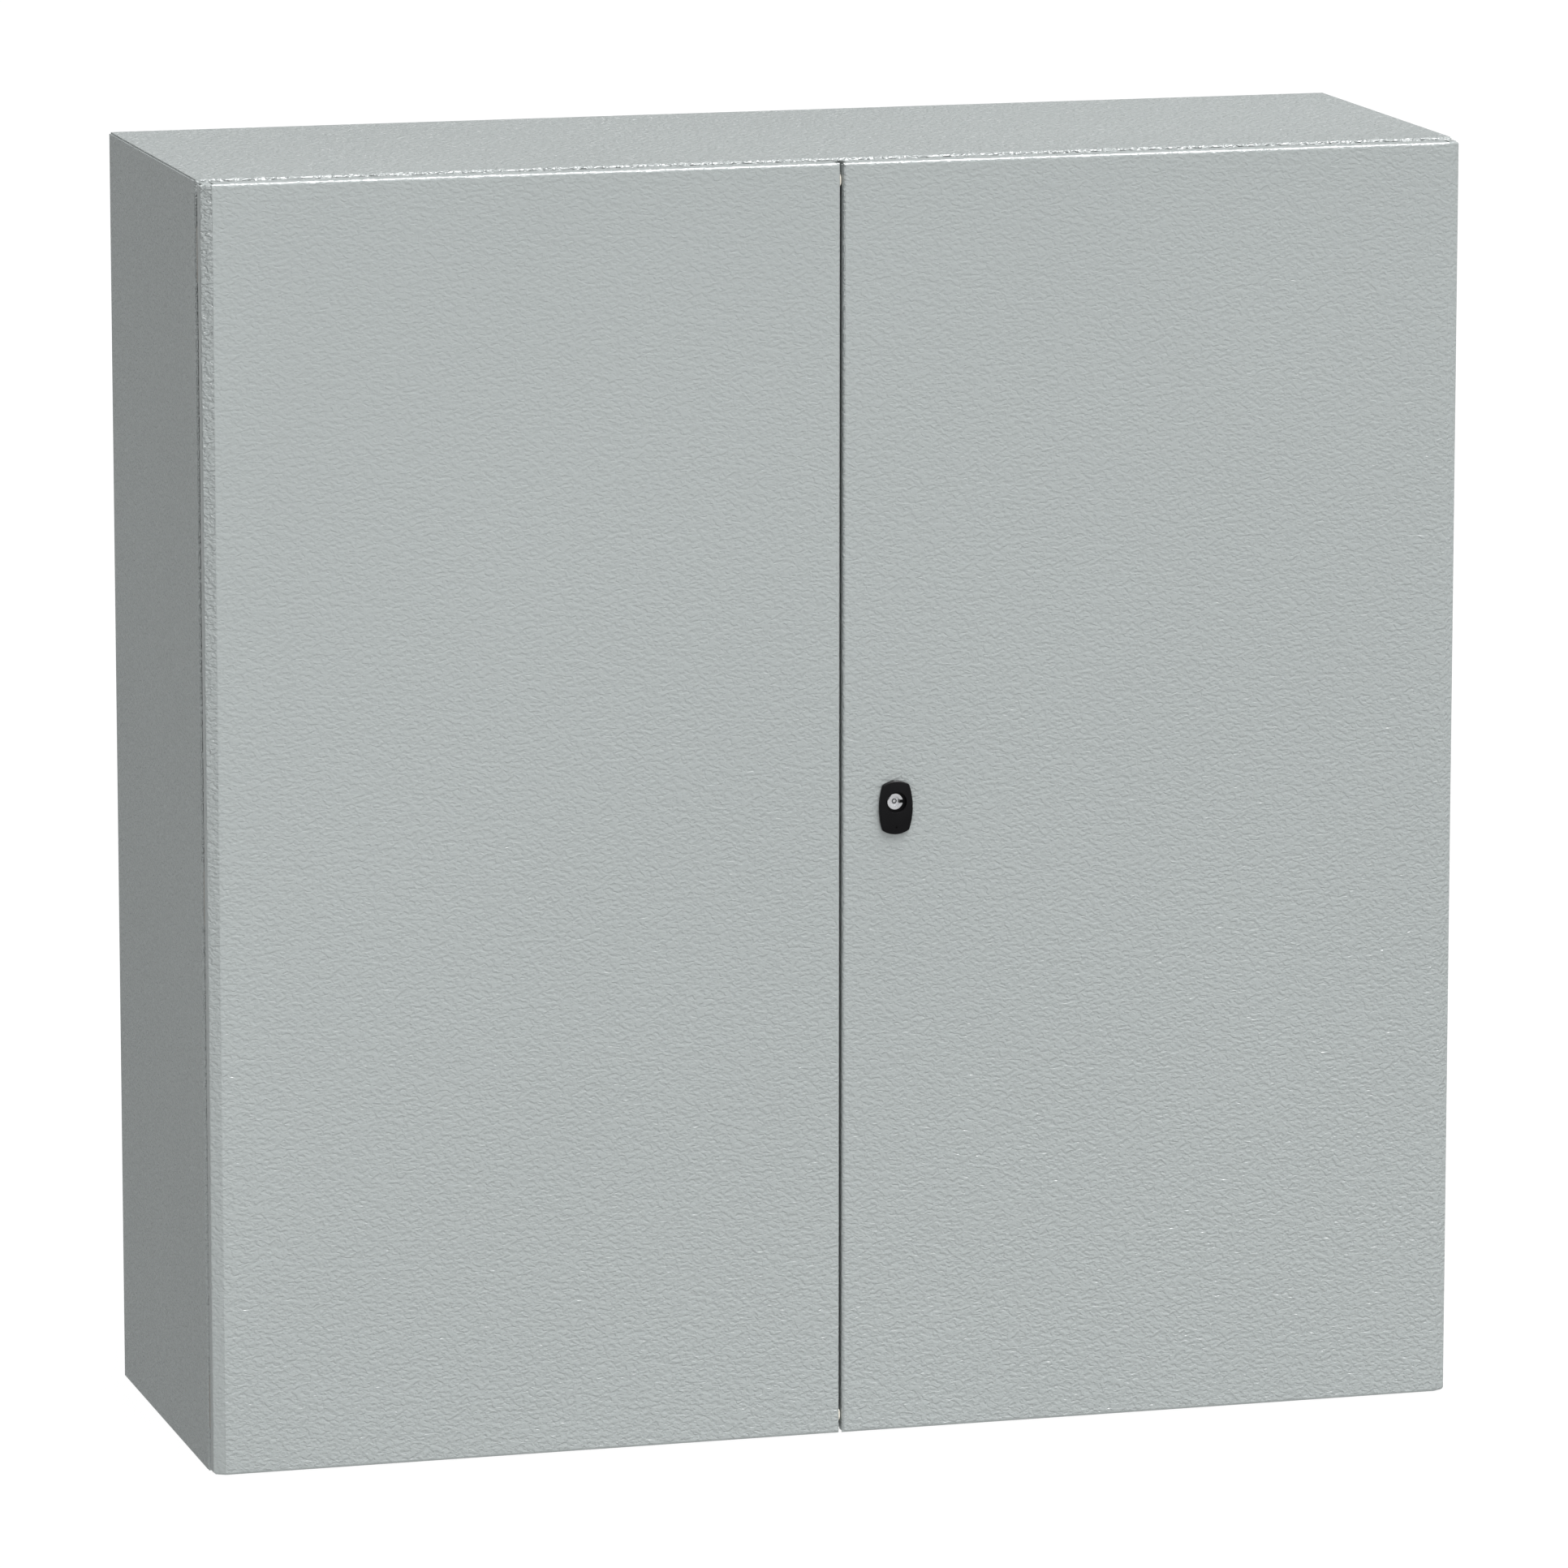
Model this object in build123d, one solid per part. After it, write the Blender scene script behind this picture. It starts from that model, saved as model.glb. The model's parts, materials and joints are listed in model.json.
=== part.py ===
"""Industrial switchboard cabinet: folded steel body, two hinged doors and a rod lock.

Units are millimetres. The origin is the centre of the base face, +X is to the right,
+Z is up and the doors face -Y. "Depth" is counted back from the doors' front plane.
"Inset" is counted inward from the outer face of the nearest side, top or bottom.
"""
import os
from math import pi, sin

from build123d import *

# Cabinet shell
WIDTH = 1200.0
HEIGHT = 1200.0
DEPTH = 400.0
SHEET = 1.5
HALF_WIDTH = WIDTH / 2
FRONT = -DEPTH / 2
BACK = DEPTH / 2
MID_HEIGHT = HEIGHT / 2

# Folded front edge of the body: outer lip, rain gutter and sealing lip
LIP_DEPTH = 25.5
LIP_WIDTH = 5.2
GUTTER_DEPTH = 33.0
SEAL_LIP_INSET = 20.0
SEAL_LIP_DEPTH = 10.0
EDGE_BEND = 1.8
TIGHT_BEND = 0.2
FOLD_BEND = 1.0
MITRE_REACH = 30.0

# Door pans
DOOR_SIDE_INSET = 0.5
DOOR_END_INSET = 1.5
DOOR_CHAMFER_WIDTH = 10.4
DOOR_CHAMFER_DEPTH = 5.9
DOOR_RETURN_DEPTH = 16.3
CENTRE_GAP = 2.5
DOOR_BEND = 3.0
CHAMFER_BEND = 2.0
RELIEF_START = 2.0
RELIEF_HEIGHT = 2.0
CENTRE_RELIEF = 3.6
HINGE_RELIEF = 2.4
CHAMFER_RELIEF = 1.6
RETURN_NOTCH = (3.5, 23.5)
RETURN_NOTCH_DEPTH = 9.2

# Foamed gaskets
GASKET_INSET = 14.0
GASKET_WIDTH = 14.0
GASKET_BACK = 9.7
GASKET_ROUND = 3.0

# Hinges
HINGE_HEIGHTS = (1133.0, 541.0, 67.0)
HINGE_LENGTH = 50.0
HINGE_INSET = 3.8
HINGE_DEPTH = 20.0
KNUCKLE_RADIUS = 3.3
PIN_RADIUS = 2.0
PIN_CLEARANCE = 0.05
DOOR_KNUCKLE = 16.0
KNUCKLE_GAP = 0.3
HINGE_WEB_INSETS = (7.7, 11.5)
HINGE_WEB_LEAD = 0.5
HINGE_FOOT_THICK = 2.5
HINGE_SCREW_INSET = 15.5
HINGE_SCREW_PITCH = 30.0
HINGE_SCREW_RADIUS = 2.0
HINGE_SCREW_REACH = 4.0
HINGE_SCREW_HEAD_RADIUS = 3.4
HINGE_SCREW_HEAD = 2.4
LEAF_THICK = 6.0
LEAF_DEPTHS = (8.5, 16.0)
LEAF_ARM_DEPTH = 14.0

# Centre channel behind the meeting edges
CHANNEL_FLANGE_DEPTH = 17.0
CHANNEL_REACH = 19.5
CHANNEL_LIP_DEPTH = 10.0
CHANNEL_FOOT = 20.0
CHANNEL_END = 28.5
PAD_HEIGHT = 11.5
PAD_BULGE = 2.2
PAD_END_DISTANCE = 18.0
PAD_DEPTHS = (3.5, 9.5)

# Perforated rails welded inside the doors
RAIL_OFFSETS = (190.0, 470.0)
RAIL_WIDTH = 24.0
RAIL_BACK = 16.0
RAIL_END = 70.0
RAIL_SLOT_PITCH = 50.0
RAIL_SLOT = (18.0, 8.0)

# Lock
LOCK_X = 52.0
LOCK_Z = 601.0
ESCUTCHEON_Z = 595.8
ESCUTCHEON_CORNERS = (12.8, 21.2)
ESCUTCHEON_BULGE = (16.0, 25.2)
ESCUTCHEON_CORNER_BEND = 1.8
ESCUTCHEON_RIM_BEND = 1.2
ESCUTCHEON_THICK = 5.0
ESCUTCHEON_CROWN = 209.0
DIMPLE_RADIUS = 0.9
DIMPLE_DROP = 23.5
DIMPLE_FLOOR = -3.0
WELL_RADIUS = 10.0
BARREL_RADIUS = 11.0
BARREL_BACK = 28.5
LOCK_NUT_FLATS = 30.0
LOCK_NUT_THICK = 6.0
INSERT_RADIUS = 7.4
INSERT_FACE = 0.5
INSERT_FLAT = 6.5
INSERT_FLAT_TURN = 34.0
KEY_RECESS_RADIUS = 4.9
KEY_RECESS_DEPTH = 3.0
KEY_HOLE_RADIUS = 2.5
KEY_HOLE_DEPTH = 10.0
KEY_PIN_RADIUS = 1.3
KEY_NOTCH_WIDTH = 3.2
TAIL_SIZE = 8.0
CAM_DEPTHS = (33.0, 36.0)
CAM_RADIUS = 17.5
CAM_SCREW_RADIUS = 4.8
CAM_SCREW_HEAD = 2.8
ROD_TRAVEL = 18.0
CRANK_OFFSET = ROD_TRAVEL / 2
CRANK_RADIUS = CRANK_OFFSET / sin(pi / 4)
CRANK_PIN_RADIUS = 3.0
ROD_DEPTHS = (40.5, 43.5)
ROD_WIDTH = 18.0
ROD_CENTRE_OFFSET = 11.0
ROD_YOKE_END = 8.0
YOKE_CLEARANCE = 0.5
ROD_TIP_Z = 1175.5
ROD_TIP_LENGTH = 26.0
ROD_TIP_FRONT = 36.0
ROD_GUIDE_Z = 1118.0
ROD_GUIDE_HALF_HEIGHT = 9.0
ROD_GUIDE_WALL = 5.0
ROD_GUIDE_FOOT = 3.0
ROD_GUIDE_CLEARANCE = 0.4
ROD_GUIDE_WINDOW_MARGIN = 1.5
ROD_GUIDE_BRIDGE = 4.0
CASE_BACK = 47.5
CASE_HALF_WIDTH = 22.5
CASE_FOOT = 14.0
CASE_HALF_HEIGHT = 42.0

# Sliding bolts of the left door
BOLT_X = -40.0
BOLT_DEPTH = 40.0
BOLT_RADIUS = 5.0
BOLT_TIP_Z = 1175.5
BOLT_LENGTH = 98.0
BOLT_CHAMFER = 1.5
BOLT_GUIDE_Z = (1110.0, 1160.0)
BOLT_GUIDE_FOOT = (18.0, 12.0)
BOLT_GUIDE_FOOT_THICK = 3.0
BOLT_GUIDE_WEB = 6.0
BOLT_GUIDE_BOSS_RADIUS = 9.0
BOLT_KNOB_REACH = 18.0
BOLT_KNOB_RADIUS = 3.5
BOLT_KNOB_HEIGHT = 8.0

# Mounting plate and its fixings
PLATE_SIZE = 1150.0
PLATE_THICK = 3.0
PLATE_FRONT = BACK - 29.5
PLATE_FOLD = 12.0
PLATE_STUD_X = 545.0
PLATE_STUD_Z = (55.0, 600.0, 1145.0)
PLATE_STUD_REACH = 12.0
SPACER_RADIUS = 8.0
WASHER_RADIUS = 9.0
WASHER_THICK = 1.6
STUD_RADIUS = 4.0
NUT_FLATS = 13.0
NUT_THICK = 6.5
THREAD_GAP = 0.3
WALL_HOLE_SPACING = 1140.0
WALL_HOLE_RADIUS = 6.0

# Gland plates in the base
GLAND_X = 290.0
GLAND_Y = 60.0
GLAND_OPENING = (440.0, 150.0)
GLAND_PLATE = (480.0, 190.0)
GLAND_GASKET_THICK = 2.0
GLAND_PLATE_THICK = 2.0
GLAND_SCREW_RADIUS = 3.0
GLAND_SCREW_FLATS = 10.0
GLAND_SCREW_HEAD = 4.0
GLAND_SCREW_RECESS = 0.1

# Earthing studs
EARTH_STUD_LENGTH = 20.0
EARTH_NUT_START = 3.0
BODY_EARTH_PLACE = (-540.0, -120.0)
DOOR_EARTH_PLACE = (535.0, 90.0)

LEFT = -1
RIGHT = 1


def at_depth(depth):
    """Y position of a depth counted back from the doors' front plane."""
    return FRONT + depth


def block(x_range, y_range, z_range):
    """Box spanning three ranges."""
    sizes = [abs(high - low) for low, high in (x_range, y_range, z_range)]
    middles = [(low + high) / 2 for low, high in (x_range, y_range, z_range)]
    return Pos(*middles) * Box(*sizes)


def bar(radius, start, end):
    """Round bar between two points."""
    origin = Vector(start)
    axis = Vector(end) - origin
    return extrude(Plane(origin=origin, z_dir=axis) * Circle(radius), axis.length)


def tube(outer, inner, start, end):
    """Round tube between two points."""
    return bar(outer, start, end) - bar(inner, start, end)


def hex_nut(across_flats, bore, start, end):
    """Hexagon nut between two points on its axis."""
    origin = Vector(start)
    axis = Vector(end) - origin
    outline = RegularPolygon(across_flats / 2, 6, major_radius=False) - Circle(bore)
    return extrude(Plane(origin=origin, z_dir=axis) * outline, axis.length)


def mirrored(part, side):
    """The part itself on the left, or its mirror image on the right."""
    return part if side == LEFT else mirror(part, about=Plane.YZ)


def upside_down(part):
    """Mirror image about the cabinet's mid height."""
    return mirror(part, about=Plane.XY.offset(MID_HEIGHT))


def folded_profile(skin, bends, thickness=SHEET):
    """Section of a folded sheet whose metal lies to the right of its skin line.

    bends holds the inside radius at each inner point of the skin line.
    """
    points = [Vector(x, y) for x, y in skin]
    legs = [(b - a).normalized() for a, b in zip(points, points[1:])]
    rights = [Vector(leg.Y, -leg.X) for leg in legs]
    core = [points[0] + rights[0] * thickness]
    for point, before, after in zip(points[1:-1], rights, rights[1:]):
        core.append(point + (before + after) * (thickness / (1 + before.dot(after))))
    core.append(points[-1] + rights[-1] * thickness)
    section = make_face(Polyline(*points, *reversed(core), close=True))
    for index, inside in enumerate(bends, start=1):
        turn = legs[index - 1].cross(legs[index]).Z
        outside = inside + thickness
        skin_radius = inside if turn > 0 else outside
        core_radius = outside if turn > 0 else inside
        for corner, radius in ((points[index], skin_radius), (core[index], core_radius)):
            nearest = section.vertices().sort_by_distance(corner)[0]
            section = fillet(nearest, radius)
    return section


def export(name, *solids):
    """Write one named piece, or a group of like pieces, to its own file."""
    shape = solids[0] if len(solids) == 1 else Compound(children=list(solids))
    shape.label = name
    export_step(shape, f"parts/{name}.step")


# Body panels

def body_edge_profile():
    """Side wall with its lip, rain gutter and sealing lip, as inset against depth."""
    skin = [
        (0, DEPTH),
        (0, LIP_DEPTH),
        (LIP_WIDTH, LIP_DEPTH),
        (LIP_WIDTH, GUTTER_DEPTH),
        (SEAL_LIP_INSET, GUTTER_DEPTH),
        (SEAL_LIP_INSET, SEAL_LIP_DEPTH),
    ]
    mirrored_skin = [(-inset, depth) for inset, depth in skin]
    section = folded_profile(mirrored_skin, (EDGE_BEND, TIGHT_BEND, FOLD_BEND, FOLD_BEND))
    return mirror(section, about=Plane.YZ)


def front_prism(outline):
    """Prism with an outline in X and Z that runs the whole depth of the cabinet."""
    face = Plane.XZ * make_face(Polyline(*outline, close=True))
    return extrude(face, DEPTH / 2 + 1, both=True)


def side_panel():
    """Left side wall, its folded front edge mitred to meet the top and the base."""
    plane = Plane(origin=(-HALF_WIDTH, FRONT, 0), x_dir=(1, 0, 0), z_dir=(0, 0, 1))
    wall = extrude(plane * body_edge_profile(), HEIGHT)
    outer = -HALF_WIDTH
    inner = outer + SHEET
    reach = outer + MITRE_REACH
    keep = [
        (outer, SHEET),
        (inner, SHEET),
        (reach, MITRE_REACH),
        (reach, HEIGHT - MITRE_REACH),
        (inner, HEIGHT - SHEET),
        (outer, HEIGHT - SHEET),
    ]
    return wall & front_prism(keep)


def top_panel():
    """Top, lying on the side walls and mitred to them behind the doors."""
    plane = Plane(origin=(-HALF_WIDTH, FRONT, HEIGHT), x_dir=(0, 0, -1), z_dir=(1, 0, 0))
    wall = extrude(plane * body_edge_profile(), WIDTH)
    end = HALF_WIDTH - SHEET
    reach = HALF_WIDTH - MITRE_REACH
    keep = [
        (-end, HEIGHT),
        (end, HEIGHT),
        (end, HEIGHT - SHEET),
        (reach, HEIGHT - MITRE_REACH),
        (-reach, HEIGHT - MITRE_REACH),
        (-end, HEIGHT - SHEET),
    ]
    return wall & front_prism(keep)


def gland_screw_points(side):
    """Screw positions round one gland plate."""
    along = (GLAND_OPENING[0] + GLAND_PLATE[0]) / 4
    across = (GLAND_OPENING[1] + GLAND_PLATE[1]) / 4
    centre = side * GLAND_X
    columns = (centre - along, centre, centre + along)
    return [(x, GLAND_Y + y) for x in columns for y in (-across, across)]


def bottom_panel():
    """Base: the top turned over, with an opening and screw holes for each gland plate."""
    panel = upside_down(top_panel())
    for side in (LEFT, RIGHT):
        cut = Box(*GLAND_OPENING, 4 * SHEET)
        panel -= Pos(side * GLAND_X, GLAND_Y, 0) * cut
        for x, y in gland_screw_points(side):
            panel -= Pos(x, y, 0) * Cylinder(GLAND_SCREW_RADIUS + THREAD_GAP, 4 * SHEET)
    return panel


def rear_panel():
    """Flat rear sheet inside the four walls, with a wall-fixing hole in each corner."""
    end = HALF_WIDTH - SHEET
    panel = block((-end, end), (BACK - SHEET, BACK), (SHEET, HEIGHT - SHEET))
    reach = WALL_HOLE_SPACING / 2
    for x in (-reach, reach):
        for z in (MID_HEIGHT - reach, MID_HEIGHT + reach):
            panel -= bar(WALL_HOLE_RADIUS, (x, BACK - 2 * SHEET, z), (x, BACK + SHEET, z))
    return panel


def drill_hinge_screws(panel):
    """Side wall with the hinge screw holes through its gutter floor."""
    for x, z in hinge_screw_points():
        start = (x, at_depth(GUTTER_DEPTH - 1), z)
        end = (x, at_depth(GUTTER_DEPTH + HINGE_SCREW_REACH), z)
        panel -= bar(HINGE_SCREW_RADIUS + THREAD_GAP, start, end)
    return panel


# Gland plates

def gland_gasket(side):
    """Flat gasket between a gland plate and the base."""
    ring = Rectangle(*GLAND_PLATE) - Rectangle(*GLAND_OPENING)
    part = Pos(side * GLAND_X, GLAND_Y, SHEET) * extrude(ring, GLAND_GASKET_THICK)
    return drill_gland(part, side)


def gland_plate(side):
    """Blank cable-entry plate, screwed down from inside."""
    blank = extrude(Rectangle(*GLAND_PLATE), GLAND_PLATE_THICK)
    part = Pos(side * GLAND_X, GLAND_Y, SHEET + GLAND_GASKET_THICK) * blank
    return drill_gland(part, side)


def drill_gland(part, side):
    """Piece with the screw holes of one gland plate."""
    for x, y in gland_screw_points(side):
        part -= Pos(x, y, 0) * Cylinder(GLAND_SCREW_RADIUS + THREAD_GAP, 20)
    return part


def gland_screws():
    """Hexagon screws that clamp both gland plates."""
    seat = SHEET + GLAND_GASKET_THICK + GLAND_PLATE_THICK
    outline = RegularPolygon(GLAND_SCREW_FLATS / 2, 6, major_radius=False)
    screws = []
    for side in (LEFT, RIGHT):
        for x, y in gland_screw_points(side):
            head = Pos(x, y, seat) * extrude(outline, GLAND_SCREW_HEAD)
            shank = bar(GLAND_SCREW_RADIUS, (x, y, GLAND_SCREW_RECESS), (x, y, seat))
            screws.append(head + shank)
    return screws


# Mounting plate

def plate_stud_points():
    """Stud positions behind the mounting plate."""
    return [(x, z) for x in (-PLATE_STUD_X, PLATE_STUD_X) for z in PLATE_STUD_Z]


def mounting_plate():
    """Plain galvanised plate with its two upright edges folded back."""
    half = PLATE_SIZE / 2
    low = MID_HEIGHT - half
    back = PLATE_FRONT + PLATE_THICK
    plate = block((-half, half), (PLATE_FRONT, back), (low, low + PLATE_SIZE))
    for side in (LEFT, RIGHT):
        edge = (side * half, side * (half - PLATE_THICK))
        plate += block(edge, (back, back + PLATE_FOLD), (low, low + PLATE_SIZE))
    for x, z in plate_stud_points():
        plate -= bar(STUD_RADIUS + THREAD_GAP, (x, PLATE_FRONT - 1, z), (x, back + 1, z))
    return plate


def plate_studs():
    """Threaded studs welded to the rear panel."""
    front = PLATE_FRONT - PLATE_STUD_REACH
    return [bar(STUD_RADIUS, (x, BACK - SHEET, z), (x, front, z)) for x, z in plate_stud_points()]


def plate_spacers():
    """Sleeves that hold the mounting plate off the rear panel."""
    bore = STUD_RADIUS + THREAD_GAP
    start = BACK - SHEET
    end = PLATE_FRONT + PLATE_THICK
    spans = [((x, start, z), (x, end, z)) for x, z in plate_stud_points()]
    return [tube(SPACER_RADIUS, bore, *span) for span in spans]


def plate_washers():
    """Washers between the nuts and the mounting plate."""
    bore = STUD_RADIUS + THREAD_GAP
    front = PLATE_FRONT - WASHER_THICK
    spans = [((x, PLATE_FRONT, z), (x, front, z)) for x, z in plate_stud_points()]
    return [tube(WASHER_RADIUS, bore, *span) for span in spans]


def plate_nuts():
    """Nuts that clamp the mounting plate."""
    bore = STUD_RADIUS + THREAD_GAP
    start = PLATE_FRONT - WASHER_THICK
    spans = [((x, start, z), (x, start - NUT_THICK, z)) for x, z in plate_stud_points()]
    return [hex_nut(NUT_FLATS, bore, *span) for span in spans]


def earth_stud(root, direction):
    """Earthing stud with its nut, welded to a sheet at root."""
    base = Vector(root)
    axis = Vector(direction)
    stud = bar(STUD_RADIUS, base, base + axis * EARTH_STUD_LENGTH)
    nut_start = base + axis * EARTH_NUT_START
    nut = hex_nut(NUT_FLATS, STUD_RADIUS + THREAD_GAP, nut_start, nut_start + axis * NUT_THICK)
    return [stud, nut]


def door_earth_stud(side):
    """Earthing stud on the inside of one door."""
    x, z = DOOR_EARTH_PLACE
    return earth_stud((side * x, at_depth(SHEET), z), (0, 1, 0))


# Hinges

def hinge_x():
    """X position of the left hinge axis."""
    return -HALF_WIDTH + HINGE_INSET


def knuckle_spans(height):
    """Z ranges of a hinge's lower body knuckle, door knuckle and upper body knuckle."""
    low = height - HINGE_LENGTH / 2
    high = height + HINGE_LENGTH / 2
    door_low = height - DOOR_KNUCKLE / 2
    door_high = height + DOOR_KNUCKLE / 2
    return (low, door_low - KNUCKLE_GAP), (door_low, door_high), (door_high + KNUCKLE_GAP, high)


def hinge_screw_points():
    """Screw positions of the left hinges' body halves."""
    x = -HALF_WIDTH + HINGE_SCREW_INSET
    half = HINGE_SCREW_PITCH / 2
    return [(x, height + offset) for height in HINGE_HEIGHTS for offset in (-half, half)]


def knuckle(span):
    """Knuckle tube of a left hinge over a Z range."""
    x = hinge_x()
    y = at_depth(HINGE_DEPTH)
    return tube(KNUCKLE_RADIUS, PIN_RADIUS + PIN_CLEARANCE, (x, y, span[0]), (x, y, span[1]))


def pin_bore(height):
    """Cutter that clears the hinge pin over a whole hinge."""
    x = hinge_x()
    y = at_depth(HINGE_DEPTH)
    reach = HINGE_LENGTH / 2 + 1
    return bar(PIN_RADIUS + PIN_CLEARANCE, (x, y, height - reach), (x, y, height + reach))


def body_hinge(height):
    """Body half of a hinge: two knuckles on an angle screwed to the gutter floor."""
    lower, _, upper = knuckle_spans(height)
    web_x = [-HALF_WIDTH + inset for inset in HINGE_WEB_INSETS]
    web_front = at_depth(HINGE_DEPTH - HINGE_WEB_LEAD)
    floor = at_depth(GUTTER_DEPTH)
    knuckle_back = HINGE_DEPTH + KNUCKLE_RADIUS
    whole = (height - HINGE_LENGTH / 2, height + HINGE_LENGTH / 2)
    foot_x = (web_x[0], -HALF_WIDTH + SEAL_LIP_INSET - FOLD_BEND - THREAD_GAP)
    part = block(web_x, (web_front, floor), whole)
    part += block(foot_x, (floor - HINGE_FOOT_THICK, floor), whole)
    for span in (lower, upper):
        arm_x = (hinge_x(), web_x[1])
        part += block(arm_x, (web_front, at_depth(knuckle_back)), span)
        part += knuckle(span)
    part -= pin_bore(height)
    for x, z in hinge_screw_points():
        start = (x, floor - HINGE_SCREW_REACH, z)
        part -= bar(HINGE_SCREW_RADIUS + THREAD_GAP, start, (x, floor + HINGE_SCREW_REACH, z))
    return part


def hinge_screws():
    """Cheese-head screws that hold the left hinges to the gutter floor."""
    seat = at_depth(GUTTER_DEPTH - HINGE_FOOT_THICK)
    end = at_depth(GUTTER_DEPTH + HINGE_SCREW_REACH)
    screws = []
    for x, z in hinge_screw_points():
        head = bar(HINGE_SCREW_HEAD_RADIUS, (x, seat, z), (x, seat - HINGE_SCREW_HEAD, z))
        shank = bar(HINGE_SCREW_RADIUS, (x, seat, z), (x, end, z))
        screws.append(head + shank)
    return screws


def hinge_pin(height):
    """Pin through the three knuckles of a left hinge."""
    x = hinge_x()
    y = at_depth(HINGE_DEPTH)
    reach = HINGE_LENGTH / 2
    return bar(PIN_RADIUS, (x, y, height - reach), (x, y, height + reach))


def door_hinge_leaf(height):
    """Door half of a hinge: a leaf inside the return that carries the middle knuckle."""
    _, middle, _ = knuckle_spans(height)
    return_face = -HALF_WIDTH + DOOR_SIDE_INSET + SHEET
    leaf_x = (return_face, return_face + LEAF_THICK)
    leaf_y = [at_depth(depth) for depth in LEAF_DEPTHS]
    arm_x = (hinge_x(), hinge_x() + KNUCKLE_RADIUS)
    whole = (height - HINGE_LENGTH / 2, height + HINGE_LENGTH / 2)
    part = block(leaf_x, leaf_y, whole)
    part += block(arm_x, (at_depth(LEAF_ARM_DEPTH), at_depth(HINGE_DEPTH)), middle)
    part += knuckle(middle)
    return part - pin_bore(height)


# Door pans

def door_outline(offset):
    """Plan outline of the left door, moved inward by offset on every face but the back."""
    outer = -HALF_WIDTH + DOOR_SIDE_INSET
    centre = -CENTRE_GAP / 2
    slope = (DOOR_CHAMFER_WIDTH**2 + DOOR_CHAMFER_DEPTH**2) ** 0.5
    shift_depth = offset * (slope - DOOR_CHAMFER_DEPTH) / DOOR_CHAMFER_WIDTH
    shift_inset = offset * (slope - DOOR_CHAMFER_WIDTH) / DOOR_CHAMFER_DEPTH
    back = DOOR_RETURN_DEPTH + (1 if offset else 0)
    points = [
        (outer + offset, back),
        (outer + offset, DOOR_CHAMFER_DEPTH + shift_depth),
        (outer + DOOR_CHAMFER_WIDTH + shift_inset, offset),
        (centre - offset, offset),
        (centre - offset, back),
    ]
    return [(x, at_depth(depth)) for x, depth in points]


def door_solid(offset):
    """Solid with the shape of the left door's outer or inner skin."""
    outline = door_outline(offset)
    low = DOOR_END_INSET + offset
    high = HEIGHT - low
    base = make_face(Polyline(*outline, close=True))
    solid = extrude(Pos(0, 0, low) * base, high - low)
    uprights = solid.edges().filter_by(Axis.Z)
    for corner in (outline[1], outline[2]):
        middle = uprights.sort_by_distance((*corner, MID_HEIGHT))[0].center()
        edge = solid.edges().filter_by(Axis.Z).sort_by_distance(middle)[0]
        solid = fillet(edge, CHAMFER_BEND - offset)
    face = solid.faces().filter_by(Axis.Y).sort_by(Axis.Y)[0]
    rims = face.edges().filter_by(Axis.X) + face.edges().filter_by(Axis.Z).sort_by(Axis.X)[-1:]
    return fillet(rims, DOOR_BEND - offset)


def end_relief(x_range, first_depth):
    """Cutters that open the left door's end flanges, behind its face, over a span of X."""
    y_range = (at_depth(first_depth), at_depth(DOOR_RETURN_DEPTH + 1))
    cutter = block(x_range, y_range, (DOOR_END_INSET - 1, DOOR_END_INSET + RELIEF_HEIGHT))
    return cutter + upside_down(cutter)


def door_pan():
    """Left door: a folded pan, chamfered along its hinge edge, with open corner reliefs."""
    pan = door_solid(0) - door_solid(SHEET)
    centre = -CENTRE_GAP / 2
    outer = -HALF_WIDTH + DOOR_SIDE_INSET
    face_start = outer + DOOR_CHAMFER_WIDTH
    pan -= end_relief((centre - CENTRE_RELIEF, centre + 1), RELIEF_START)
    pan -= end_relief((outer - 1, outer + HINGE_RELIEF), DOOR_CHAMFER_DEPTH)
    pan -= end_relief((face_start, face_start + CHAMFER_RELIEF), RELIEF_START)
    notch_x = (centre - SHEET - 0.1, centre + 1)
    notch_y = (at_depth(RETURN_NOTCH_DEPTH), at_depth(DOOR_RETURN_DEPTH + 1))
    notch = block(notch_x, notch_y, RETURN_NOTCH)
    return pan - notch - upside_down(notch)


def lock_hole():
    """Round hole for the lock barrel through the right door."""
    start = (LOCK_X, at_depth(-1), LOCK_Z)
    return bar(BARREL_RADIUS + THREAD_GAP, start, (LOCK_X, at_depth(SHEET + 1), LOCK_Z))


# Gaskets, centre channel and rails

def gasket_strip(x_range, z_range):
    """Straight run of foamed gasket on a door's inner face."""
    return block(x_range, (at_depth(SHEET), at_depth(GASKET_BACK)), z_range)


def rounded_gasket(solid):
    """Gasket with its sealing edges rounded over."""
    crest = solid.faces().sort_by(Axis.Y)[-1]
    return fillet(crest.edges(), GASKET_ROUND)


def left_gasket():
    """Three-sided gasket: hinge side, top and bottom."""
    outer = -HALF_WIDTH + GASKET_INSET
    inner = outer + GASKET_WIDTH
    centre = -CENTRE_GAP / 2 - DOOR_BEND - 0.3
    low = GASKET_INSET
    high = HEIGHT - GASKET_INSET
    solid = gasket_strip((outer, inner), (low, high))
    solid += gasket_strip((outer, centre), (low, low + GASKET_WIDTH))
    solid += gasket_strip((outer, centre), (high - GASKET_WIDTH, high))
    return rounded_gasket(solid)


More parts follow.
